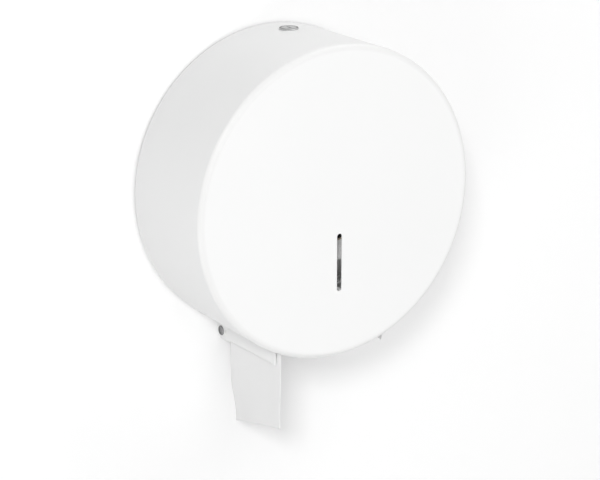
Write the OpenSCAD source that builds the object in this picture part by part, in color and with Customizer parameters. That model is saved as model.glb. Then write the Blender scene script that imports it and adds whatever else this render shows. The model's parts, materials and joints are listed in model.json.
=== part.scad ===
// Jumbo toilet roll dispenser: a round sheet-steel cover that swings down on two
// hinge pins, over a wall plate that carries a spindle, a hub and a part-used roll.
// Origin on the wall, at the middle of the drum. +X to the right seen from the room,
// -Y out of the wall into the room, +Z up. Millimetres.

/* [Cover] */
// Outer radius of the cover
cover_r = 155; // [145:1:170]
// Distance from the wall to the cover's front face
cover_depth = 124; // [120:1:145]
// Sheet thickness of the cover
cover_t = 1; // [0.8:0.1:1.4]
// Outer radius of the rounded edge between the cover's face and its band
edge_r = 5; // [2:0.5:7]
// Gap between the cover's rear edge and the wall
rear_gap = 2; // [1:0.5:3]

/* [Level window] */
// Width of the slot that shows how much paper is left
slot_w = 5.7; // [4.5:0.1:8]
// Height of the slot from end to end
slot_h = 58.5; // [40:0.5:70]
// Distance of the slot's upper end below the middle of the cover
slot_drop = 29; // [20:1:40]

/* [Wall plate] */
// Gap between the wall plate's rim and the cover's band
plate_gap = 4; // [2:0.5:8]
// Sheet thickness of the wall plate
plate_t = 1.2; // [1:0.1:2]
// Height of the rim around the wall plate
rim_h = 8; // [5:0.5:9]
// Distance from each wall screw hole to the middle, sideways and upward
wall_hole_xy = 75; // [60:1:85]
// Radius of the wall screw holes
wall_hole_r = 3.25; // [2.5:0.25:4]

/* [Paper exit] */
// Clear width between the two tear cheeks
exit_w = 125.6; // [121:0.2:130]
// Sheet thickness of the tear cheeks
cheek_t = 1.2; // [1:0.1:1.6]
// Distance from the wall to the front end of the cheeks
cheek_reach = 108; // [100:0.5:112]
// How far the cheeks hang below the cover at the wall
cheek_drop = 6; // [4:0.5:8]
// How much the cheeks' lower edge rises toward the room
cheek_lift = 4; // [0:0.5:6]
// Height of the cheeks at the wall
cheek_h = 37; // [34:0.5:40]
// Width of the cheeks' feet on the wall plate
foot_w = 13; // [11:0.5:18]
// Distance of the feet's rivets from the feet's upper and lower ends
foot_rivet_edge = 7; // [5:0.5:9]
// Height of the wall plate's lower edge above the cheeks' lower edge
tongue_rise = 11; // [9:0.5:14]
// Distance from tooth to tooth of the tear edge
tooth_pitch = 4; // [3:0.5:6]
// Depth of the teeth
tooth_h = 2; // [1:0.25:3]

/* [Hinge] */
// Distance from the wall to the hinge axis
hinge_reach = 10.5; // [10:0.5:16]
// Height of the hinge axis above the cover's lowest point
hinge_rise = 4; // [3:0.5:6]
// Radius of the hinge pins
pin_r = 2.5; // [2:0.25:3]
// Radius of the hinge pins' outer heads
pin_head_r = 5; // [4:0.1:5.5]
// Thickness of the hinge pins' outer heads
pin_head_t = 1; // [0.8:0.1:2]
// Radius of the dish in the hinge pins' outer heads
pin_dish_r = 3.2; // [2.5:0.1:3.6]
// Depth of that dish
pin_dish_h = 0.5; // [0.3:0.1:0.6]
// Thickness of the nylon washers between cheek and cover lug
washer_t = 0.7; // [0.5:0.1:1]
// Radius of the nylon washers
washer_r = 5; // [4:0.25:5.5]
// Sheet thickness of the cover's hinge lugs
lug_t = 1.2; // [1:0.1:1.6]
// Length of the hinge lugs along the cover's lower edge
lug_len = 22; // [18:1:34]
// Width of the lugs' flanges that lie inside the band
lug_flange_w = 17; // [12:1:22]
// Height of the lugs' front ends below the band
lug_nose = 2; // [1:0.5:6]
// Gap between the rim's ends and the lugs
rim_gap = 8; // [6:0.5:14]

/* [Roll] */
// Gap between the part-used roll's outermost layer and the plane of the cheek beside it
roll_side = 2.8; // [2:0.1:12]
// How far the roll sits in front of the middle of the cover's depth
roll_forward = 3; // [0:0.5:5]
// Width of the paper
roll_w = 98; // [90:1:102]
// Inner radius of the cardboard core
core_r = 38; // [34:0.5:40]
// Wall of the cardboard core
core_t = 1.5; // [1:0.25:2.5]
// Length of loose paper that hangs below the middle of the roll, at the wall side
tail_len = 244; // [230:1:270]
// How much shorter the torn end is at the room side
tear_slant = 22; // [0:1:40]
// How far the loose paper's wall-side edge draws in at the torn end
tail_draw_in = 13; // [0:1:20]
// Heights above the torn end between which it draws in
tail_draw_to = 14; // [5:1:20]
tail_draw_from = 55; // [40:1:80]
// Thickness of the loose paper's stand-in
tail_t = 0.4; // [0.3:0.1:0.6]

/* [Spindle and hub] */
// Outer radius of the spindle tube
spindle_r = 15; // [12:0.5:18]
// Wall of the spindle tube
spindle_wall = 1.5; // [1:0.25:2]
// Radius of the flange that holds the spindle on the wall plate
flange_r = 30; // [27:1:34]
// Thickness of that flange
flange_t = 2; // [1.5:0.25:3]
// Wall of the hub's inner and outer tubes
hub_wall = 2; // [1.5:0.25:3]
// Number of ribs between the hub's tubes
hub_ribs = 6; // [4:1:8]
// How far the hub stays inside the roll at each end
hub_inset = 0.5; // [0:0.25:2]
// Wall of the spacer behind the hub
spacer_wall = 3; // [2:0.25:4]
// Length of the threaded slug in the spindle's end
insert_len = 8; // [6:0.5:12]
// Radius of the cap on the spindle's end
cap_r = 20; // [18.5:0.5:24]
// Thickness of the cap
cap_t = 2.5; // [2:0.25:4]
// Radius of the cap screw's shank
cap_screw_r = 2.5; // [2:0.25:3]
// Radius of the cap screw's head
cap_screw_head_r = 4.5; // [4:0.25:5.5]
// Height of the cap screw's head
cap_screw_head_h = 2.5; // [2:0.25:3.5]

/* [Lock] */
// Distance from the wall to the lock's axis
lock_reach = 35; // [33:0.5:42]
// Radius of the lock's head
lock_head_r = 9.5; // [9:0.25:11]
// Thickness of the lock's head
lock_head_t = 1.5; // [1.25:0.25:3]
// Radius of the lock's threaded barrel
barrel_r = 8; // [7:0.25:8.5]
// Length of the barrel below the head
barrel_len = 16; // [15:0.5:18]
// Radius of the lock's plug
plug_r = 5.8; // [5:0.1:6]
// Distance across the flats of the lock nut
nut_af = 20; // [19:0.5:21]
// Thickness of the lock nut
nut_t = 4; // [3:0.25:5]
// Length of the cam from the lock's axis to its tip
cam_len = 20; // [18:0.5:22]
// Width of the cam
cam_w = 9; // [8:0.5:10]
// Thickness of the cam
cam_t = 2; // [1.5:0.25:2.5]
// Radius of the cam screw's shank
cam_screw_r = 1.6; // [1.25:0.05:2]
// Length of the cam screw's shank
cam_screw_len = 7; // [5:0.5:8]
// Height of the cam screw's head
cam_screw_head_h = 2; // [1.5:0.25:2.5]
// Sheet thickness of the catch
catch_t = 1.5; // [1:0.25:2]
// Width of the catch's foot, sideways
catch_foot_w = 16; // [15:0.5:20]
// Height of the catch's foot
catch_foot_h = 11; // [10:0.5:14]
// Height of the catch's lip
catch_lip_h = 9; // [6:0.5:11]
// Gap between the catch's foot and the rim of the wall plate
catch_rim_gap = 1; // [0.5:0.25:3]

/* [Fasteners and fits] */
// Radius of the rivets' shanks
rivet_r = 2; // [1.5:0.25:2.5]
// Radius of the rivets' heads
rivet_head_r = 3.5; // [3:0.25:4]
// Height of the rivets' heads
rivet_head_h = 1.4; // [1:0.1:2]
// Radial clearance of shafts that turn in their holes
run_fit = 0.08; // [0.05:0.01:0.1]
// Radial clearance of rivets, pins and barrels that stay in their holes
seat_fit = 0.05; // [0.02:0.01:0.1]
// Gap between flat faces that slide past each other
face_play = 0.1; // [0.1:0.05:0.3]
// Gap beside parts that move freely past each other
free_play = 0.3; // [0.3:0.05:0.5]

/* [Hidden] */
$fn = 96;
paint = [0.95, 0.95, 0.94];
zinc = [0.72, 0.73, 0.74];
cut_past = 1;

// Cover
band_in = cover_r - cover_t;
band_front = cover_depth - edge_r;
plate_r = band_in - plate_gap;
sheet_gap = 0.1;
edge_cut = 0.5;

// Sideways stack at each hinge, from the paper outward
cheek_in = exit_w / 2;
cheek_out = cheek_in + cheek_t;
washer_in = cheek_out + face_play;
lug_in = washer_in + washer_t + face_play;
lug_out = lug_in + lug_t;
head_in = lug_out + 2 * face_play;
pin_foot_r = pin_r + 1;
pin_foot_t = 1;

// Heights at the paper exit
cheek_low = -cover_r - cheek_drop;
cheek_top = cheek_low + cheek_h;
cheek_rear_cut = 3;
cheek_nose_cut = 1;
hinge_z = -cover_r + hinge_rise;
tongue_low = cheek_low + tongue_rise;
tongue_side = 1;
foot_z = [cheek_top - foot_rivet_edge, tongue_low + foot_rivet_edge];
foot_mid = cheek_in - foot_w / 2;
rim_stop = lug_out + rim_gap;
lug_eye_r = pin_head_r + 0.5;
teeth_from = hinge_reach + 2 * pin_head_r;
teeth_margin = 2;

// Roll, hub and spindle along the depth
roll_r = cheek_in - roll_side;
roll_mid = cover_depth / 2 + roll_forward;
roll_rear = roll_mid - roll_w / 2;
roll_front = roll_rear + roll_w;
hub_rear = roll_rear + hub_inset;
hub_out = core_r - seat_fit;
flange_front = plate_t + flange_t;
hub_len = roll_w - 2 * hub_inset;
spindle_front = hub_rear + hub_len + free_play;
spindle_len = spindle_front - flange_front;
spacer_r = spindle_r + spacer_wall;
spacer_len = hub_rear - free_play - flange_front;
flange_rivet_ring = (spacer_r + flange_r) / 2;
screw_clear = 0.25;
screw_tip_gap = 1;
tail_x = roll_r + free_play;

// Lock, measured up from the middle
head_z = cover_r + lock_head_t;
barrel_low = cover_r - barrel_len;
cam_top = barrel_low - free_play;
cam_low = cam_top - cam_t;
cam_mid = (cam_top + cam_low) / 2;
cam_boss = 1;
plug_rim_r = plug_r + 1.2;
plug_rim_t = 1;
shank_w = 6;
lock_washer_t = 0.8;
lock_washer_r = nut_af / 2 + 1.3;
washer_top = sqrt(band_in * band_in - lock_washer_r * lock_washer_r) - sheet_gap;
nut_top = washer_top - lock_washer_t;

// Catch beside the cam, in front of which the cam turns
catch_web = cam_len + 2;
catch_side = catch_web + catch_t + catch_foot_w;
catch_foot_top = sqrt(pow(plate_r - plate_t - catch_rim_gap, 2) - catch_side * catch_side);
catch_foot_low = catch_foot_top - catch_foot_h;
catch_lip_low = cam_mid - catch_lip_h / 2;
catch_lip_y = lock_reach + cam_w / 2 + 1;
catch_lip_in = barrel_r + 2;
catch_rivet_pitch = 8;

// Stands a profile up on the wall, where it grows from y0 out into the room
module outward(y0) {
    translate([0, -y0, 0])
        rotate([90, 0, 0])
            children();
}

// Sheet in an upright plane at right angles to the wall, from x0 to x0 + t,
// whose profile is drawn as [y, z]
module upright(x0, t) {
    translate([x0, 0, 0])
        rotate([90, 0, 90])
            linear_extrude(t)
                children();
}

// Ring of a sheet that is rolled around the drum's axis
module hoop(r_out, t) {
    difference() {
        circle(r_out, $fn = 240);
        circle(r_out - t, $fn = 240);
    }
}

// Slot with round ends, upright, its middle at the origin
module stadium(w, h) {
    square([w, h - w], center = true);
    for (s = [-1, 1])
        translate([0, s * (h - w) / 2])
            circle(w / 2);
}

// Rivet with a flush rear end on the wall, through sheet up to height grip
module rivet(grip) {
    cap_sphere = (pow(rivet_head_r, 2) + pow(rivet_head_h, 2)) / (2 * rivet_head_h);
    cylinder(r = rivet_r, h = grip);
    intersection() {
        translate([0, 0, grip])
            cylinder(r = rivet_head_r, h = rivet_head_h);
        translate([0, 0, grip + rivet_head_h - cap_sphere])
            sphere(r = cap_sphere);
    }
}

module rivet_hole(depth) {
    translate([0, 0, -cut_past])
        cylinder(r = rivet_r + seat_fit, h = depth + 2 * cut_past);
}

// Places on the wall plate, as [x, z]
cheek_rivet_at = [for (s = [-1, 1], z = foot_z) [s * foot_mid, z]];
flange_rivet_at = [for (a = [45:90:315]) flange_rivet_ring * [cos(a), sin(a)]];
catch_rivet_at = [for (k = [-1, 1])
    [catch_side - catch_foot_w / 2 + k * catch_rivet_pitch / 2,
     catch_foot_low + catch_foot_h / 2]];
wall_hole_at = [for (sx = [-1, 1], sz = [-1, 1]) wall_hole_xy * [sx, sz]];

module at_each(places) {
    for (p = places)
        translate([p[0], p[1], 0])
            children();
}

// ---- Wall side ----

module back_plate() {
    color(paint)
        outward(0)
            difference() {
                union() {
                    linear_extrude(plate_t)
                        union() {
                            circle(plate_r, $fn = 240);
                            translate([-cheek_out - tongue_side, tongue_low])
                                square([2 * (cheek_out + tongue_side), -tongue_low]);
                        }
                    linear_extrude(rim_h)
                        difference() {
                            hoop(plate_r, plate_t);
                            translate([-rim_stop, -plate_r - cut_past])
                                square([2 * rim_stop, plate_r]);
                        }
                }
                at_each(wall_hole_at)
                    translate([0, 0, -cut_past])
                        cylinder(r = wall_hole_r, h = plate_t + 2 * cut_past);
                at_each(cheek_rivet_at)
                    rivet_hole(plate_t);
                at_each(flange_rivet_at)
                    rivet_hole(plate_t);
                at_each(catch_rivet_at)
                    rivet_hole(plate_t);
            }
}

// Height of a cheek's lower edge at distance d from the wall
function cheek_edge(d) = cheek_low + cheek_lift * d / cheek_reach;

// Outline of a cheek as [y, z], with a toothed lower edge
module cheek_outline() {
    teeth_count = floor((cheek_reach - teeth_margin - teeth_from) / tooth_pitch);
    teeth_to = teeth_from + teeth_count * tooth_pitch;
    teeth = [for (i = [0:teeth_count - 1], k = [0, 1])
        let (d = teeth_from + (i + k / 2) * tooth_pitch)
            [-d, cheek_edge(d) + (k == 0 ? tooth_h : 0)]];
    nose = cheek_reach - cheek_nose_cut;
    polygon(concat(
        [[-plate_t, cheek_top], [-plate_t, cheek_low + cheek_rear_cut]],
        [[-plate_t - cheek_rear_cut, cheek_edge(plate_t + cheek_rear_cut)]],
        [[-teeth_from, cheek_edge(teeth_from)]],
        teeth,
        [[-teeth_to, cheek_edge(teeth_to) + tooth_h], [-teeth_to, cheek_edge(teeth_to)]],
        [[-nose, cheek_edge(nose)], [-cheek_reach, cheek_edge(nose) + cheek_nose_cut]],
        [[-cheek_reach, cheek_top]]));
}

module cheek() {
    color(paint)
        difference() {
            union() {
                upright(cheek_in, cheek_t)
                    cheek_outline();
                outward(plate_t)
                    linear_extrude(cheek_t)
                        translate([cheek_in - foot_w, tongue_low])
                            square([foot_w + cheek_t, cheek_top - tongue_low]);
            }
            translate([cheek_in - cut_past, -hinge_reach, hinge_z])
                rotate([0, 90, 0])
                    cylinder(r = pin_r + seat_fit, h = cheek_t + 2 * cut_past);
            outward(plate_t)
                at_each(cheek_rivet_at)
                    rivet_hole(cheek_t);
        }
}

module cheek_left() {
    mirror([1, 0, 0])
        cheek();
}

module cheek_right() {
    cheek();
}

module cheek_rivets() {
    color(zinc)
        outward(0)
            at_each(cheek_rivet_at)
                rivet(plate_t + cheek_t);
}

// Round head with a chamfered top edge
module head(r, h) {
    cylinder(r = r, h = h - edge_cut);
    translate([0, 0, h - edge_cut])
        cylinder(r1 = r, r2 = r - edge_cut, h = edge_cut);
}

// Pin riveted into the cheek: inner head, shank, and dished outer head beyond the lug
module hinge_pin() {
    color(zinc)
        translate([0, -hinge_reach, hinge_z])
            rotate([0, 90, 0])
                difference() {
                    union() {
                        translate([0, 0, cheek_in - pin_foot_t])
                            cylinder(r = pin_foot_r, h = pin_foot_t);
                        translate([0, 0, cheek_in])
                            cylinder(r = pin_r, h = head_in - cheek_in);
                        translate([0, 0, head_in])
                            head(pin_head_r, pin_head_t);
                    }
                    translate([0, 0, head_in + pin_head_t - pin_dish_h])
                        cylinder(r = pin_dish_r, h = pin_dish_h + cut_past);
                }
}

module hinge_pin_left() {
    mirror([1, 0, 0])
        hinge_pin();
}

module hinge_pin_right() {
    hinge_pin();
}

module hinge_washers() {
    color([0.9, 0.9, 0.86])
        for (s = [0, 1])
            mirror([s, 0, 0])
                translate([washer_in, -hinge_reach, hinge_z])
                    rotate([0, 90, 0])
                        difference() {
                            cylinder(r = washer_r, h = washer_t);
                            translate([0, 0, -cut_past])
                                cylinder(r = pin_r + run_fit, h = washer_t + 2 * cut_past);
                        }
}

module spindle_flange() {
    color(zinc)
        outward(plate_t)
            difference() {
                cylinder(r = flange_r, h = flange_t);
                at_each(flange_rivet_at)
                    rivet_hole(flange_t);
            }
}

module spindle_rivets() {
    color(zinc)
        outward(0)
            at_each(flange_rivet_at)
                rivet(plate_t + flange_t);
}

// Straight tube that stands at right angles to the wall
module tube(y0, r_out, r_in, len) {
    outward(y0)
        difference() {
            cylinder(r = r_out, h = len);
            translate([0, 0, -cut_past])
                cylinder(r = r_in, h = len + 2 * cut_past);
        }
}

module spindle_tube() {
    color(zinc)
        tube(flange_front, spindle_r, spindle_r - spindle_wall, spindle_len);
}

// Threaded slug in the tube's front end, which the cap screw bites into
module spindle_insert() {
    color(zinc)
        tube(spindle_front - insert_len, spindle_r - spindle_wall - seat_fit,
            cap_screw_r + seat_fit, insert_len);
}

module spindle_spacer() {
    color([0.85, 0.85, 0.83])
        tube(flange_front, spacer_r, spindle_r + seat_fit, spacer_len);
}

module spindle_cap() {
    color([0.2, 0.2, 0.21])
        tube(spindle_front, cap_r, cap_screw_r + screw_clear, cap_t);
}

// Screw with a cross recess, through the cap into the slug
module cap_screw() {
    shank_len = insert_len - screw_tip_gap;
    cross_w = 1;
    cross_len = 5.4;
    color(zinc)
        outward(spindle_front)
            difference() {
                union() {
                    translate([0, 0, -shank_len])
                        cylinder(r = cap_screw_r, h = shank_len + cap_t);
                    translate([0, 0, cap_t])
                        cylinder(r = cap_screw_head_r, h = cap_screw_head_h);
                }
                translate([0, 0, cap_t + cap_screw_head_h / 2])
                    for (a = [0, 90])
                        rotate([0, 0, a])
                            translate([-cross_w / 2, -cross_len / 2, 0])
                                cube([cross_w, cross_len, cap_screw_head_h]);
            }
}

// Bracket beside the lock: a foot on the wall plate, a tapered web that stands out
// from it, and a lip in front of the turned cam
module lock_catch() {
    color(zinc)
        difference() {
            union() {
                upright(catch_web, catch_t)
                    polygon([[-plate_t, catch_foot_low], [-plate_t, catch_foot_top],
                        [-plate_t - catch_t, catch_foot_top],
                        [-catch_lip_y, catch_lip_low + catch_lip_h],
                        [-catch_lip_y - catch_t, catch_lip_low + catch_lip_h],
                        [-catch_lip_y - catch_t, catch_lip_low], [-catch_lip_y, catch_lip_low],
                        [-plate_t - catch_t, catch_foot_low]]);
                outward(plate_t)
                    linear_extrude(catch_t)
                        translate([catch_web, catch_foot_low])
                            square([catch_side - catch_web, catch_foot_h]);
                outward(catch_lip_y)
                    linear_extrude(catch_t)
                        translate([catch_lip_in, catch_lip_low])
                            square([catch_web + catch_t - catch_lip_in, catch_lip_h]);
            }
            outward(plate_t)
                at_each(catch_rivet_at)
                    rivet_hole(catch_t);
        }
}

module catch_rivets() {
    color(zinc)
        outward(0)
            at_each(catch_rivet_at)
                rivet(plate_t + catch_t);
}

// ---- Cover ----

module cover_face() {
    color(paint)
        difference() {
            outward(0)
                rotate_extrude($fn = 240)
                    union() {
                        translate([0, cover_depth - cover_t])
                            square([cover_r - edge_r, cover_t]);
                        translate([cover_r - edge_r, cover_depth - edge_r])
                            intersection() {
                                difference() {
                                    circle(edge_r, $fn = 48);
                                    circle(edge_r - cover_t, $fn = 48);
                                }
                                square(edge_r);
                            }
                    }
            outward(cover_depth - cover_t - cut_past)
                linear_extrude(cover_t + 2 * cut_past)
                    translate([0, -slot_drop - slot_h / 2])
                        stadium(slot_w, slot_h);
        }
}

module cover_band() {
    color(paint)
        difference() {
            outward(rear_gap)
                linear_extrude(band_front - rear_gap)
                    difference() {
                        hoop(cover_r, cover_t);
                        translate([-lug_out, -cover_r - cut_past])
                            square([2 * lug_out, cover_r]);
                    }
            translate([0, -lock_reach, band_in - 2 * cut_past])
                cylinder(r = barrel_r + seat_fit, h = cover_t + 3 * cut_past);
        }
}

// Lug below the band's end, with a flange that lies inside the band
module hinge_lug() {
    flange_out = band_in - sheet_gap;
    flange_low = -sqrt(flange_out * flange_out - lug_in * lug_in);
    flange_top = -sqrt(pow(flange_out - lug_t, 2) - lug_out * lug_out);
    lug_rear = hinge_reach - lug_eye_r;
    lug_front = lug_rear + lug_len;
    color(paint)
        difference() {
            union() {
                upright(lug_in, lug_t)
                    union() {
                        translate([-hinge_reach, hinge_z])
                            circle(lug_eye_r, $fn = 64);
                        polygon([[-lug_rear, hinge_z], [-lug_rear, flange_top],
                            [-lug_front, flange_top], [-lug_front, flange_low - lug_nose],
                            [-hinge_reach, hinge_z - lug_eye_r]]);
                    }
                outward(lug_rear)
                    linear_extrude(lug_len)
                        intersection() {
                            hoop(flange_out, lug_t);
                            translate([lug_in, -flange_out])
                                square([lug_flange_w, flange_out]);
                        }
            }
            translate([lug_in - cut_past, -hinge_reach, hinge_z])
                rotate([0, 90, 0])
                    cylinder(r = pin_r + run_fit, h = lug_t + 2 * cut_past);
        }
}

module hinge_lug_left() {
    mirror([1, 0, 0])
        hinge_lug();
}

module hinge_lug_right() {
    hinge_lug();
}

// Places lock pieces on the lock's upright axis
module on_lock(z) {
    translate([0, -lock_reach, z])
        children();
}

module lock_body() {
    color(zinc)
        on_lock(0)
            difference() {
                union() {
                    translate([0, 0, barrel_low])
                        cylinder(r = barrel_r, h = barrel_len);
                    translate([0, 0, cover_r])
                        head(lock_head_r, lock_head_t);
                }
                translate([0, 0, barrel_low - cut_past])
                    cylinder(r = plug_r + run_fit, h = barrel_len + lock_head_t + 2 * cut_past);
                translate([0, 0, head_z - plug_rim_t - face_play])
                    cylinder(r = plug_rim_r + run_fit, h = plug_rim_t + cut_past);
            }
}

module lock_washer() {
    color(zinc)
        on_lock(washer_top - lock_washer_t)
            difference() {
                cylinder(r = lock_washer_r, h = lock_washer_t);
                translate([0, 0, -cut_past])
                    cylinder(r = barrel_r + seat_fit, h = lock_washer_t + 2 * cut_past);
            }
}

module lock_nut() {
    color(zinc)
        on_lock(nut_top - nut_t)
            difference() {
                cylinder(r = nut_af / 2 / cos(30), h = nut_t, $fn = 6);
                translate([0, 0, -cut_past])
                    cylinder(r = barrel_r + seat_fit, h = nut_t + 2 * cut_past);
            }
}

// Plug with a rim under the keyway's mouth and a square shank for the cam
module lock_plug() {
    keyway_w = 1.4;
    keyway_l = 8;
    keyway_deep = 10;
    color(zinc)
        on_lock(0)
            difference() {
                union() {
                    translate([0, 0, cam_top])
                        cylinder(r = plug_r, h = head_z - plug_rim_t / 2 - cam_top);
                    translate([0, 0, head_z - plug_rim_t])
                        cylinder(r = plug_rim_r, h = plug_rim_t);
                    translate([-shank_w / 2, -shank_w / 2, cam_low])
                        cube([shank_w, shank_w, cam_t + cut_past]);
                }
                translate([-keyway_w / 2, -keyway_l / 2, head_z - keyway_deep])
                    cube([keyway_w, keyway_l, keyway_deep + cut_past]);
                translate([0, 0, cam_low - cut_past])
                    cylinder(r = cam_screw_r + seat_fit,
                        h = cut_past + cam_screw_len + screw_tip_gap);
            }
}

// Flat cam that points to the wall when the lock is open
module lock_cam() {
    shank_hole = shank_w + 2 * seat_fit;
    color(zinc)
        on_lock(cam_low)
            difference() {
                linear_extrude(cam_t)
                    union() {
                        circle(cam_w / 2 + cam_boss);
                        translate([-cam_w / 2, 0])
                            square([cam_w, cam_len - cam_w / 2]);
                        translate([0, cam_len - cam_w / 2])
                            circle(cam_w / 2);
                    }
                translate([-shank_hole / 2, -shank_hole / 2, -cut_past])
                    cube([shank_hole, shank_hole, cam_t + 2 * cut_past]);
            }
}

module cam_screw() {
    slot_len = 6;
    slot_wide = 0.8;
    color(zinc)
        on_lock(cam_low - cam_screw_head_h)
            difference() {
                union() {
                    cylinder(r = cam_w / 2, h = cam_screw_head_h);
                    cylinder(r = cam_screw_r, h = cam_screw_head_h + cam_screw_len);
                }
                translate([-slot_len / 2, -slot_wide / 2, -cut_past])
                    cube([slot_len, slot_wide, cut_past + slot_wide]);
            }
}

// ---- Roll ----

module core_hub() {
    inner_r = spindle_r + run_fit;
    color([0.2, 0.2, 0.21])
        outward(hub_rear)
            difference() {
                union() {
                    cylinder(r = inner_r + hub_wall, h = hub_len);
                    difference() {
                        cylinder(r = hub_out, h = hub_len);
                        translate([0, 0, -cut_past])
                            cylinder(r = hub_out - hub_wall, h = hub_len + 2 * cut_past);
                    }
                    for (i = [0:hub_ribs - 1])
                        rotate([0, 0, i * 360 / hub_ribs])
                            translate([inner_r + hub_wall / 2, -hub_wall / 2, 0])
                                cube([hub_out - inner_r - hub_wall, hub_wall, hub_len]);
                }
                translate([0, 0, -cut_past])
                    cylinder(r = inner_r, h = hub_len + 2 * cut_past);
            }
}

module roll_core() {
    color([0.62, 0.5, 0.36])
        tube(roll_rear, core_r + core_t, core_r, roll_w);
}

module paper_roll() {
    color([0.93, 0.93, 0.92])
        tube(roll_rear, roll_r, core_r + core_t + seat_fit, roll_w);
}

// Loose paper that hangs straight down from the roll's left side
module paper_tail() {
    color([0.93, 0.93, 0.92])
        upright(-tail_x - tail_t, tail_t)
            polygon([[-roll_rear, 0], [-roll_rear, -tail_len + tail_draw_from],
                [-roll_rear - tail_draw_in, -tail_len + tail_draw_to],
                [-roll_rear - tail_draw_in, -tail_len],
                [-roll_front, -tail_len + tear_slant], [-roll_front, 0]]);
}

back_plate();
cheek_left();
cheek_right();
cheek_rivets();
hinge_pin_left();
hinge_pin_right();
hinge_washers();
spindle_flange();
spindle_rivets();
spindle_tube();
spindle_insert();
spindle_spacer();
spindle_cap();
cap_screw();
lock_catch();
catch_rivets();
cover_face();
cover_band();
hinge_lug_left();
hinge_lug_right();
lock_body();
lock_washer();
lock_nut();
lock_plug();
lock_cam();
cam_screw();
core_hub();
roll_core();
paper_roll();
paper_tail();
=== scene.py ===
"""Looks for a round jumbo toilet roll dispenser: its finishes, the wound roll and the loose paper.
Every length is in metres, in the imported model's frame: origin on the wall at the drum's axis,
+X to the right seen from the room, -Y out of the wall, +Z up."""
import json
import math
import random

import bpy
from mathutils import Matrix, Vector, noise


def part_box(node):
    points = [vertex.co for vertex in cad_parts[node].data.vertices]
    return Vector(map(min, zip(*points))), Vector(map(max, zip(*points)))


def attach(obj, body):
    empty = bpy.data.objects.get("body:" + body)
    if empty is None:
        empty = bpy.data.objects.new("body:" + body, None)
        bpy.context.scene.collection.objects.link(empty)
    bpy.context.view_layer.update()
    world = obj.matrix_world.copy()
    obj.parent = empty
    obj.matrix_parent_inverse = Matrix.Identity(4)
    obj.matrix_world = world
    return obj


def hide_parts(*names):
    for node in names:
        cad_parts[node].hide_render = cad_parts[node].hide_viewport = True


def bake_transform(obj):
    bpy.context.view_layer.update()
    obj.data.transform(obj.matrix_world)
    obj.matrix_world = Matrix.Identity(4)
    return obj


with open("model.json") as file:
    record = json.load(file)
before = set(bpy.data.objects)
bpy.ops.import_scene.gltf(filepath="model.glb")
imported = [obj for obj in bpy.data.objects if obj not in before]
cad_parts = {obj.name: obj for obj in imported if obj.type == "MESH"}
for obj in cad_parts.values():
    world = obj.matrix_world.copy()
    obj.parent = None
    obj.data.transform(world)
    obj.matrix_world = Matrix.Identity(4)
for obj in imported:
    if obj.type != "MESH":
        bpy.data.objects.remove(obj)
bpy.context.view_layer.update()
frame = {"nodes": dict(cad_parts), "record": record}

MM = 0.001
random.seed(7)


# ---- Camera ----

# The camera stands to the left of the middle of the cover's face and above it
CAMERA_AZIMUTH = math.radians(33.16)
CAMERA_DROP = math.radians(18.27)
CAMERA_DISTANCE = 1.6959
# In millimetres
CAMERA_LENS = 106.69
SENSOR_WIDTH = 36
# Nearest and farthest distance that is drawn
CLIP_START = 0.05
CLIP_END = 50
# How far left of and below the face's middle the camera aims
AIM_LEFT = 0.0380
AIM_DOWN = 0.0336


def add_camera():
    """Looks at the cover's face from the left and above, with the face right of the middle."""
    face_low, face_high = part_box("cover_face")
    face_centre = Vector((0, face_low.y, (face_low.z + face_high.z) / 2))
    level = math.cos(CAMERA_DROP)
    forward = Vector((math.sin(CAMERA_AZIMUTH) * level, math.cos(CAMERA_AZIMUTH) * level,
                      -math.sin(CAMERA_DROP)))
    right = Vector((math.cos(CAMERA_AZIMUTH), -math.sin(CAMERA_AZIMUTH), 0))
    up = right.cross(forward)
    camera = bpy.data.objects.new("camera", bpy.data.cameras.new("camera"))
    camera.data.lens = CAMERA_LENS
    camera.data.sensor_width = SENSOR_WIDTH
    camera.data.clip_start = CLIP_START
    camera.data.clip_end = CLIP_END
    place = face_centre - AIM_LEFT * right - AIM_DOWN * up - CAMERA_DISTANCE * forward
    turn = Matrix((right, up, -forward)).transposed()
    camera.matrix_world = Matrix.Translation(place) @ turn.to_4x4()
    bpy.context.scene.collection.objects.link(camera)
    bpy.context.scene.camera = camera


# ---- Node helpers ----

WHITE = (1, 1, 1, 1)
# Numbers of the frame's axes
AXIS_Y = 1
AXIS_Z = 2
# A Mix node's colour sockets, by number because its other sockets have the same names
MIX_FIRST, MIX_SECOND, MIX_RESULT = 6, 7, 2


def add(material, kind, sockets=None, **settings):
    """Adds a shader node; each socket gets a number, a colour or another node's output."""
    made = material.node_tree.nodes.new(kind)
    for key, value in settings.items():
        setattr(made, key, value)
    for key, value in (sockets or {}).items():
        if isinstance(value, bpy.types.NodeSocket):
            material.node_tree.links.new(value, made.inputs[key])
        else:
            made.inputs[key].default_value = value
    return made


def set_shader(material, **sockets):
    """Sets or links sockets of the material's main shader, named with _ for a space."""
    shader = material.node_tree.nodes["Principled BSDF"]
    for key, value in sockets.items():
        target = shader.inputs[key.replace("_", " ")]
        if isinstance(value, bpy.types.NodeSocket):
            material.node_tree.links.new(value, target)
        else:
            target.default_value = value


def new_material(name):
    material = bpy.data.materials.new(name)
    material.use_nodes = True
    return material


def surface_point(material):
    """The surface point in the frame, in metres."""
    return add(material, "ShaderNodeTexCoord").outputs["Object"]


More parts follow.
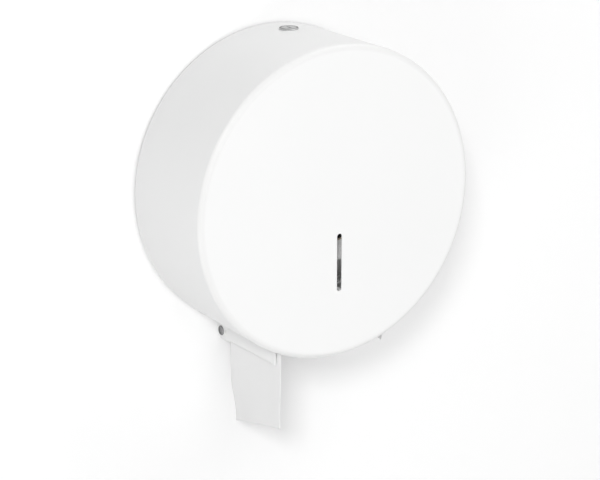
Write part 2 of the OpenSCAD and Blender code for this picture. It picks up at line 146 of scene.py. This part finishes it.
def speckle(material, scale, stretch=(1, 1, 1), detail=2.0, roughness=0.5):
    """Noise from 0 to 1, with about scale lumps to the metre; stretch multiplies the point."""
    spot = add(material, "ShaderNodeMapping",
               {"Vector": surface_point(material), "Scale": stretch}).outputs["Vector"]
    return add(material, "ShaderNodeTexNoise",
               {"Vector": spot, "Scale": scale, "Detail": detail,
                "Roughness": roughness}).outputs["Fac"]


def layering(material, distance, scale, detail):
    """Noise from 0 to 1 that changes with distance alone."""
    return add(material, "ShaderNodeTexNoise", {"W": distance, "Scale": scale, "Detail": detail},
               noise_dimensions="1D").outputs["Fac"]


def reckon(material, operation, *values):
    """The result of a Math node."""
    return add(material, "ShaderNodeMath", dict(enumerate(values)),
               operation=operation).outputs["Value"]


def ramp(material, value, start, end):
    """0 at start and 1 at end, held beyond both."""
    return add(material, "ShaderNodeMapRange",
               {"Value": value, "From Min": start, "From Max": end}).outputs["Result"]


def span(material, value, low, high):
    """Maps 0..1 to low..high."""
    return add(material, "ShaderNodeMapRange",
               {"Value": value, "To Min": low, "To Max": high}).outputs["Result"]


def tint(material, value, first, second):
    """Mixes two colours by value; each is red, green and blue, or another node's output."""
    first, second = (colour if isinstance(colour, bpy.types.NodeSocket) else (*colour, 1)
                     for colour in (first, second))
    return add(material, "ShaderNodeMix", {"Factor": value, MIX_FIRST: first, MIX_SECOND: second},
               data_type="RGBA").outputs[MIX_RESULT]


def bump(material, height, depth, under=None):
    """Raises the surface by height times depth, in metres, on top of another bump."""
    sockets = {"Height": height, "Distance": depth, "Strength": 1.0}
    if under is not None:
        sockets["Normal"] = under
    return add(material, "ShaderNodeBump", sockets).outputs["Normal"]


def ring_radius(material, centre, axis):
    """Distance of the surface point from a line through centre along axis, in metres."""
    keep = tuple(0 if k == axis else 1 for k in range(3))
    shifted = add(material, "ShaderNodeVectorMath", {0: surface_point(material), 1: centre},
                  operation="SUBTRACT").outputs["Vector"]
    flat = add(material, "ShaderNodeVectorMath", {0: shifted, 1: keep},
               operation="MULTIPLY").outputs["Vector"]
    return add(material, "ShaderNodeVectorMath", {0: flat}, operation="LENGTH").outputs["Value"]


# ---- Finishes ----

# The rounded edge starts and is full at these shares of the face's radius,
EDGE_START = 0.955
EDGE_FULL = 0.985
# and at these distances behind the face's front
EDGE_START_BEHIND = 6 * MM
EDGE_FULL_BEHIND = 1 * MM
# How much of the painted shade's colour shows on it
EDGE_SHADE_SHARE = 0.75
# Painted shade: a greyer colour on the rounded edge that dims the highlight the lamps put there
EDGE_SHADE_COLOUR = (0.80, 0.80, 0.795)


def rolled_edge(material):
    """0 to 1 over the rounded edge between the cover's band and its face."""
    low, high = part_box("cover_face")
    radius = ring_radius(material, (0, 0, 0), AXIS_Y)
    reach = reckon(material, "DIVIDE", radius, (high.x - low.x) / 2)
    outward = ramp(material, reach, EDGE_START, EDGE_FULL)
    depth = add(material, "ShaderNodeSeparateXYZ", {"Vector": surface_point(material)})
    forward = ramp(material, depth.outputs["Y"],
                   low.y + EDGE_START_BEHIND, low.y + EDGE_FULL_BEHIND)
    return reckon(material, "MULTIPLY", outward, forward)


def white_enamel():
    """Powder coat: off-white, half gloss, with a faint orange peel, and on the cover's rolled edge
    a greyer tint that is painted shade, dimming the highlight the lamps put there."""
    made = new_material("white_enamel_coat")
    drift = speckle(made, 9)
    peel = speckle(made, 420, detail=1.0)
    grain = speckle(made, 1900)
    coat = tint(made, drift, (0.915, 0.917, 0.915), (0.935, 0.936, 0.933))
    # Painted shade on the rolled edge, dimming the highlight the lamps put there
    edge_shade = reckon(made, "MULTIPLY", rolled_edge(made), EDGE_SHADE_SHARE)
    set_shader(made,
               Base_Color=tint(made, edge_shade, coat, EDGE_SHADE_COLOUR),
               Roughness=span(made, grain, 0.34, 0.46),
               Normal=bump(made, grain, 0.004 * MM, bump(made, peel, 0.03 * MM)))
    return made


def zinc_plate():
    """Bright zinc on steel: fine brushing along the sheet and a cloudy blue and straw tint."""
    made = new_material("zinc_plate_finish")
    cloud = speckle(made, 160, detail=3)
    brushed = speckle(made, 5200, (1, 1, 0.04))
    set_shader(made, Metallic=1.0,
               Base_Color=tint(made, cloud, (0.62, 0.64, 0.67), (0.72, 0.70, 0.65)),
               Roughness=span(made, cloud, 0.26, 0.42),
               Normal=bump(made, brushed, 0.006 * MM))
    return made


def dark_steel():
    """Dark passivated steel pin with a rubbed, cloudy surface and a fine grain."""
    made = new_material("dark_steel_finish")
    cloud = speckle(made, 420, detail=3)
    grain = speckle(made, 4200)
    set_shader(made, Metallic=1.0,
               Base_Color=tint(made, cloud, (0.20, 0.20, 0.205), (0.32, 0.32, 0.32)),
               Roughness=span(made, cloud, 0.30, 0.48),
               Normal=bump(made, grain, 0.006 * MM))
    return made


# Radii on the lock's head where its ring of painted shade starts, is full, starts to fade and ends
RIM_START = 7.0 * MM
RIM_FULL = 8.2 * MM
RIM_FADE = 9.0 * MM
RIM_END = 9.4 * MM
# Painted shade: a dark ring near the head's edge, standing in for the shade in the gap round the
# head
RIM_SHADE_COLOUR = (0.13, 0.13, 0.132)


def polished_lock():
    """Nickel-plated lock: turned rings around its axis, light key scratches and a dark ring of
    painted shade near the head's edge, for the shade in the gap round it.
    """
    made = new_material("polished_lock_finish")
    low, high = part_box("lock_body")
    axis_at = ((low.x + high.x) / 2, (low.y + high.y) / 2, 0)
    radius = ring_radius(made, axis_at, AXIS_Z)
    turned = layering(made, radius, 9000.0, 1.0)
    scratch = speckle(made, 3000, (1, 0.05, 1), detail=3)
    # Ring of painted shade near the head's edge
    rim_shade = reckon(made, "MULTIPLY", ramp(made, radius, RIM_START, RIM_FULL),
                 ramp(made, radius, RIM_END, RIM_FADE))
    plating = tint(made, scratch, (0.42, 0.425, 0.43), (0.54, 0.54, 0.535))
    set_shader(made, Metallic=1.0, Base_Color=tint(made, rim_shade, plating, RIM_SHADE_COLOUR),
               Roughness=span(made, scratch, 0.34, 0.46),
               Normal=bump(made, turned, 0.004 * MM))
    return made


def nylon():
    """Natural nylon: milky, slightly waxy, with a moulded grain."""
    made = new_material("nylon_moulded")
    cloud = speckle(made, 90)
    grain = speckle(made, 2400)
    set_shader(made, Subsurface_Weight=0.25, Subsurface_Scale=2 * MM,
               Base_Color=tint(made, cloud, (0.84, 0.83, 0.77), (0.90, 0.89, 0.85)),
               Roughness=span(made, grain, 0.42, 0.55),
               Normal=bump(made, grain, 0.01 * MM))
    return made


def hub_plastic():
    """Dark grey moulded plastic with a spark-eroded grain and paper dust in it."""
    made = new_material("hub_plastic_moulded")
    dust = speckle(made, 260, detail=4)
    grain = speckle(made, 2600)
    set_shader(made,
               Base_Color=tint(made, span(made, dust, -0.6, 1.2), (0.026, 0.026, 0.028),
                               (0.060, 0.060, 0.060)),
               Roughness=span(made, grain, 0.42, 0.62),
               Normal=bump(made, grain, 0.02 * MM))
    return made


# How far the core's helix climbs in one turn
CORE_CLIMB = 70 * MM
# Share of a turn that its seam takes
SEAM_SHARE = 0.02
SEAM_COLOUR = (0.22, 0.17, 0.12)


def core_board():
    """Grey-brown board, wound as a helix, with pressed fibres and a dark butt seam."""
    made = new_material("core_board_wound")
    fibre = speckle(made, 1500, (1, 0.25, 1), detail=5, roughness=0.65)
    parts = add(made, "ShaderNodeSeparateXYZ", {"Vector": surface_point(made)}).outputs
    turn = reckon(made, "ARCTAN2", parts["Z"], parts["X"])
    along = reckon(made, "MULTIPLY", parts["Y"], 1 / CORE_CLIMB)
    climb = reckon(made, "MULTIPLY_ADD", turn, 1 / math.tau, along)
    seam = ramp(made, reckon(made, "FRACT", climb), 0.0, SEAM_SHARE)
    board = tint(made, fibre, (0.40, 0.33, 0.24), (0.62, 0.53, 0.41))
    set_shader(made, Base_Color=tint(made, seam, SEAM_COLOUR, board), Roughness=0.88,
               Normal=bump(made, fibre, 0.04 * MM, bump(made, seam, 0.15 * MM)))
    return made


def tissue(name="tissue_sheet", wound=False):
    """Two-ply tissue: crepe ridges across the web, soft fibres and, on a roll, its layers."""
    made = new_material(name)
    crepe = speckle(made, 1500, (1, 0.06, 1), detail=3, roughness=0.6)
    fibre = speckle(made, 3500, detail=4, roughness=0.7)
    cloud = speckle(made, 70, detail=3)
    normal = bump(made, fibre, 0.02 * MM, bump(made, crepe, 0.07 * MM))
    if wound:
        low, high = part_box("paper_roll")
        centre = ((low.x + high.x) / 2, 0, (low.z + high.z) / 2)
        layer = layering(made, ring_radius(made, centre, AXIS_Y), 4200.0, 2.0)
        normal = bump(made, layer, 0.10 * MM, normal)
    set_shader(made, Base_Color=tint(made, cloud, (0.938, 0.938, 0.936), (0.960, 0.960, 0.958)),
               Roughness=0.92, Sheen_Weight=0.12, Sheen_Roughness=0.6, Normal=normal)
    return made


FINISHES = {"white_enamel": white_enamel, "zinc_plate": zinc_plate, "dark_steel": dark_steel,
            "polished_lock": polished_lock, "nylon": nylon, "hub_plastic": hub_plastic,
            "core_board": core_board, "tissue": tissue}


def finish_nodes():
    """Gives each CAD node the finish of its slot in the record."""
    made = {slot: build() for slot, build in FINISHES.items()}
    for part in frame["record"]["subparts"]:
        node = frame["nodes"][part["node"]]
        node.data.materials.clear()
        node.data.materials.append(made[part["material_slot"]])
    return made


# ---- Paper ----

def mesh_object(name, points, faces, material):
    """A smooth-shaded object in the scene, made of points and faces."""
    mesh = bpy.data.meshes.new(name)
    mesh.from_pydata(points, [], faces)
    mesh.polygons.foreach_set("use_smooth", [True] * len(mesh.polygons))
    mesh.materials.append(material)
    mesh.update()
    made = bpy.data.objects.new(name, mesh)
    bpy.context.scene.collection.objects.link(made)
    return made


def grid_faces(rows, columns, closed=False):
    """Quads of a grid of points stored row by row; closed joins the last row to the first."""
    faces = []
    for i in range(rows if closed else rows - 1):
        below = (i + 1) % rows
        for k in range(columns - 1):
            faces.append((i * columns + k, i * columns + k + 1,
                          below * columns + k + 1, below * columns + k))
    return faces


# Rows of points round the roll
ROLL_TURNS = 240
# Gap between the core and the innermost layer
CORE_GAP = 0.05 * MM
# Thickness of one drawn layer, and how far a layer stands in from the roll's end on average
LAYER_STEP = 0.45 * MM
LAYER_SHIFT = 0.30 * MM
# Shares of that shift that vary from layer to layer and that sway round the roll
OWN_SHARE = 0.55
SWAY_SHARE = 0.45
# Steps of the sway's noise across the roll's width and from layer to layer
SWAY_ACROSS = 1.6
SWAY_PER_LAYER = 0.35
# The outermost layer's lumps: their height, their noise's steps across the roll's width and the
# slice of the noise that is used; and how far that layer stays inside the solid
LUMP = 0.12 * MM
LUMP_ACROSS = 3
LUMP_SLICE = 7.1
OUTER_INSET = 0.15 * MM


def wound_roll(material):
    """The part-used roll: a lathed body whose end faces show uneven layers."""
    low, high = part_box("paper_roll")
    core_low, core_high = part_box("roll_core")
    outer = (high.x - low.x) / 2
    inner = (core_high.x - core_low.x) / 2 + CORE_GAP
    layers = int((outer - inner) / LAYER_STEP)
    radii = [inner + (outer - inner) * i / layers for i in range(layers + 1)]
    shift = [random.uniform(-1, 1) for _ in radii]
    profile = [(r, "rear", i) for i, r in enumerate(radii)]
    profile += [(r, "front", i) for i, r in reversed(list(enumerate(radii)))]
    profile.append(profile[0])
    points = []
    for turn in range(ROLL_TURNS):
        angle = math.tau * turn / ROLL_TURNS
        out = Vector((math.cos(angle), 0, math.sin(angle)))
        lump = LUMP * noise.noise(Vector((out.x * LUMP_ACROSS, LUMP_SLICE, out.z * LUMP_ACROSS)))
        for radius, side, layer in profile:
            sway = noise.noise(Vector((out.x * SWAY_ACROSS, layer * SWAY_PER_LAYER,
                                       out.z * SWAY_ACROSS)))
            uneven = LAYER_SHIFT * (OWN_SHARE * shift[layer] + SWAY_SHARE * sway + 1)
            grow = lump - OUTER_INSET if layer == layers else 0
            y = high.y - uneven if side == "rear" else low.y + uneven
            points.append(out * (radius + grow) + Vector((0, y, 0)))
    faces = [tuple(reversed(f)) for f in grid_faces(ROLL_TURNS, len(profile), closed=True)]
    roll = mesh_object("wound_roll", points, faces, material)
    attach(roll, "roll")
    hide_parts("paper_roll")


# Rows of points along the sheet, and points in a row
TAIL_ROWS = 210
TAIL_COLUMNS = 112
# Thickness of the sheet
PLY = 0.25 * MM
# How far round the roll the sheet lies, and how far its hidden end sinks into the roll
TAIL_WRAP = math.radians(100)
TAIL_SINK = 0.5 * MM
# Length below the roll's axis over which ripple and lean grow
FREE_OVER = 120 * MM
# The low end starts this far below the axis and is full after this length more. There the rear
# corner curls off the sheet's plane and draws in.
LOW_END_FROM = 198 * MM
LOW_END_OVER = 42 * MM
TAIL_CURL = 1.5 * MM
TAIL_DRAW_IN = 8.5 * MM
# How far the rear edge leans forward and the front edge flares forward
TAIL_LEAN = 1.8 * MM
TAIL_FLARE = 1.2 * MM
# The front part bows off the sheet's plane, from this share of the width on
TAIL_BOW = 1.3 * MM
BOW_FROM = 0.6
BOW_OVER = 90 * MM
# A regular ripple: its height, radians to the metre downward and radians over the width
RIPPLE = 0.9 * MM
RIPPLE_DOWN = 41
RIPPLE_ACROSS = 2.2
# An uneven ripple: its height, and lumps to the metre downward and across
RUMPLE = 0.6 * MM
RUMPLE_DOWN = 16
RUMPLE_ACROSS = 28
# The torn edge: width and depth of its teeth, the least share of that depth, how much longer
# the rear edge is, and how far the edge hangs below the solid before its teeth are taken off
TEAR_TOOTH = 4 * MM
TEAR_DEPTH = 1.1 * MM
LEAST_TOOTH = 0.45
TEAR_SLANT = 24 * MM
TEAR_HANG = 2.5 * MM
# Frayed fibres, as shares of that depth: how uneven, and how much is torn off everywhere;
# then their lumps over the width and the slice of the noise that is used
FRAY = 0.35
FRAY_LEAST = 0.4
FRAY_ACROSS = 55
FRAY_SLICE = 3.3


def smooth_step(value):
    """0 to 1 with soft ends, held beyond both."""
    value = min(max(value, 0), 1)
    return value * value * (3 - 2 * value)


def loose_paper(material):
    """The paper's free end: off the roll's left side, down between the cheeks, to a torn edge."""
    roll_low, roll_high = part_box("paper_roll")
    low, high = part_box("paper_tail")
    roll_radius = (roll_high.x - roll_low.x) / 2
    hang_x = (low.x + high.x) / 2
    wrap_length = TAIL_WRAP * roll_radius
    rear, front = high.y, low.y
    width = rear - front
    drop = -low.z + TEAR_HANG
    tooth_count = round(width / TEAR_TOOTH)
    tooth_height = [random.uniform(LEAST_TOOTH, 1.0) for _ in range(tooth_count + 2)]
    points = []
    for i in range(TAIL_ROWS):
        along = i / (TAIL_ROWS - 1)
        for k in range(TAIL_COLUMNS):
            across = k / (TAIL_COLUMNS - 1)
            tooth = across * tooth_count
            notch = tooth_height[int(tooth)] * abs((tooth % 1) - 0.5) * 2
            fray = FRAY * noise.noise(Vector((across * FRAY_ACROSS, FRAY_SLICE, 0)))
            torn = drop - TEAR_SLANT * across - TEAR_DEPTH * (notch + fray + FRAY_LEAST)
            distance = along * (wrap_length + torn) - wrap_length
            y = rear - width * across
            if distance < 0:
                angle = -distance / roll_radius
                sink = TAIL_SINK * smooth_step(angle / TAIL_WRAP)
                radius = -hang_x - sink
                points.append(Vector((-radius * math.cos(angle), y, radius * math.sin(angle))))
                continue
            free = smooth_step(distance / FREE_OVER)
            low_end = smooth_step((distance - LOW_END_FROM) / LOW_END_OVER)
            rearward = 1 - across
            ripple = RIPPLE * math.sin(distance * RIPPLE_DOWN + across * RIPPLE_ACROSS) * free
            ripple += RUMPLE * free * noise.noise(Vector((0, y * RUMPLE_ACROSS,
                                                          distance * RUMPLE_DOWN)))
            curl = TAIL_CURL * low_end * rearward ** 2
            bow = smooth_step((across - BOW_FROM) / (1 - BOW_FROM))
            bow *= TAIL_BOW * smooth_step(distance / BOW_OVER)
            y -= (TAIL_DRAW_IN * low_end + TAIL_LEAN * free) * rearward ** 1.5
            y -= TAIL_FLARE * smooth_step(distance / drop) * across
            points.append(Vector((hang_x + ripple + curl - bow, y, -distance)))
    sheet = mesh_object("loose_paper", points, grid_faces(TAIL_ROWS, TAIL_COLUMNS), material)
    ply = sheet.modifiers.new("ply", "SOLIDIFY")
    ply.thickness = PLY
    ply.offset = 0
    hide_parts("paper_tail")
    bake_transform(sheet)


# ---- Room ----

# Gap between the part's rear and the wall, and how close to the wall light comes through it
WALL_GAP = 0.4 * MM
AGAINST_WALL = 6 * MM
FLOOR_Z = -1.1
ROOM_SIZE = 3.2
# How much light wall and floor give back to the part, and how much they glow to the camera
WALL_BOUNCE = 0.4
WALL_GLOW = 0.015
FLOOR_BOUNCE = 0.95
FLOOR_GLOW = 0.03


def seen_by(material, *rays):
    """1 where a ray of one of these kinds arrives, else 0."""
    path = add(material, "ShaderNodeLightPath").outputs
    found = path[rays[0]]
    for ray in rays[1:]:
        found = reckon(material, "MAXIMUM", found, path[ray])
    return found


def room_material(name, bounce, glow):
    """White paint that shows white to the camera and in reflections, keeps the shadow on it,
    lets the view and the light through from behind, and lights the faces close to it."""
    made = new_material(name)
    nodes = made.node_tree.nodes
    nodes.remove(nodes["Principled BSDF"])
    seen = seen_by(made, "Is Camera Ray", "Is Glossy Ray", "Is Transmission Ray")
    lit = add(made, "ShaderNodeBsdfDiffuse", {"Color": (bounce, bounce, bounce, 1)})
    paint = add(made, "ShaderNodeBsdfDiffuse", {"Color": WHITE})
    light = add(made, "ShaderNodeEmission", {"Strength": glow})
    shown = add(made, "ShaderNodeAddShader",
                {0: paint.outputs["BSDF"], 1: light.outputs["Emission"]})
    front = add(made, "ShaderNodeMixShader",
                {0: seen, 1: lit.outputs["BSDF"], 2: shown.outputs["Shader"]})
    clear = add(made, "ShaderNodeBsdfTransparent")
    behind = add(made, "ShaderNodeNewGeometry").outputs["Backfacing"]
    length = add(made, "ShaderNodeLightPath").outputs["Ray Length"]
    against = reckon(made, "LESS_THAN", length, AGAINST_WALL)
    surface = add(made, "ShaderNodeMixShader",
                  {0: reckon(made, "MAXIMUM", behind, against),
                   1: front.outputs["Shader"], 2: clear.outputs["BSDF"]})
    made.node_tree.links.new(surface.outputs["Shader"], nodes["Material Output"].inputs["Surface"])
    return made


def add_room():
    """A wall behind the part and a floor below it."""
    half = ROOM_SIZE / 2
    wall = mesh_object("wall", [(-half, WALL_GAP, FLOOR_Z), (half, WALL_GAP, FLOOR_Z),
                                (half, WALL_GAP, half), (-half, WALL_GAP, half)],
                       [(0, 1, 2, 3)], room_material("wall_paint", WALL_BOUNCE, WALL_GLOW))
    floor = mesh_object("floor", [(-half, -ROOM_SIZE, FLOOR_Z), (half, -ROOM_SIZE, FLOOR_Z),
                                  (half, WALL_GAP, FLOOR_Z), (-half, WALL_GAP, FLOOR_Z)],
                        [(0, 1, 2, 3)], room_material("floor_paint", FLOOR_BOUNCE, FLOOR_GLOW))


WORLD_LEVEL = 0.535
# Each lamp's direction from the origin, its distance and side in metres, and its level
LAMPS = {"key": ((-0.56, -0.69, 0.455), 6.0, 1.0, 0.32),
         "high": ((0.52, -0.28, 0.80), 4.0, 2.4, 0.33),
         "low": ((-0.70, -0.42, -0.58), 3.0, 2.0, 0.49),
         "front": ((0.10, -1.00, 0.10), 4.0, 2.6, 0.04)}


def add_lamp(name, direction, distance, size, level):
    """Square softbox; level is the brightness it gives a white surface that faces it."""
    lamp = bpy.data.objects.new(name, bpy.data.lights.new(name, "AREA"))
    lamp.data.size = size
    lamp.data.energy = level * (math.pi * distance) ** 2
    lamp.location = Vector(direction).normalized() * distance
    lamp.rotation_euler = Vector(direction).to_track_quat("Z", "Y").to_euler()
    bpy.context.scene.collection.objects.link(lamp)


def add_light():
    """The lamps, and a plain world that shows white to the camera and in reflections."""
    for name, (direction, distance, size, level) in LAMPS.items():
        add_lamp(name, direction, distance, size, level)
    world = bpy.data.worlds.new("studio")
    world.use_nodes = True
    nodes = world.node_tree.nodes
    plain = nodes["Background"]
    plain.inputs["Color"].default_value = WHITE
    plain.inputs["Strength"].default_value = WORLD_LEVEL
    white = add(world, "ShaderNodeBackground", {"Color": WHITE, "Strength": 1.0})
    mixed = add(world, "ShaderNodeMixShader",
                {0: seen_by(world, "Is Camera Ray", "Is Glossy Ray"),
                 1: plain.outputs["Background"], 2: white.outputs["Background"]})
    world.node_tree.links.new(mixed.outputs["Shader"], nodes["World Output"].inputs["Surface"])
    bpy.context.scene.world = world


# ---- Scene ----

add_camera()
finishes = finish_nodes()
wound_roll(tissue("tissue_wound", wound=True))
loose_paper(finishes["tissue"])
add_room()
add_light()
bpy.context.scene.view_settings.view_transform = "Standard"
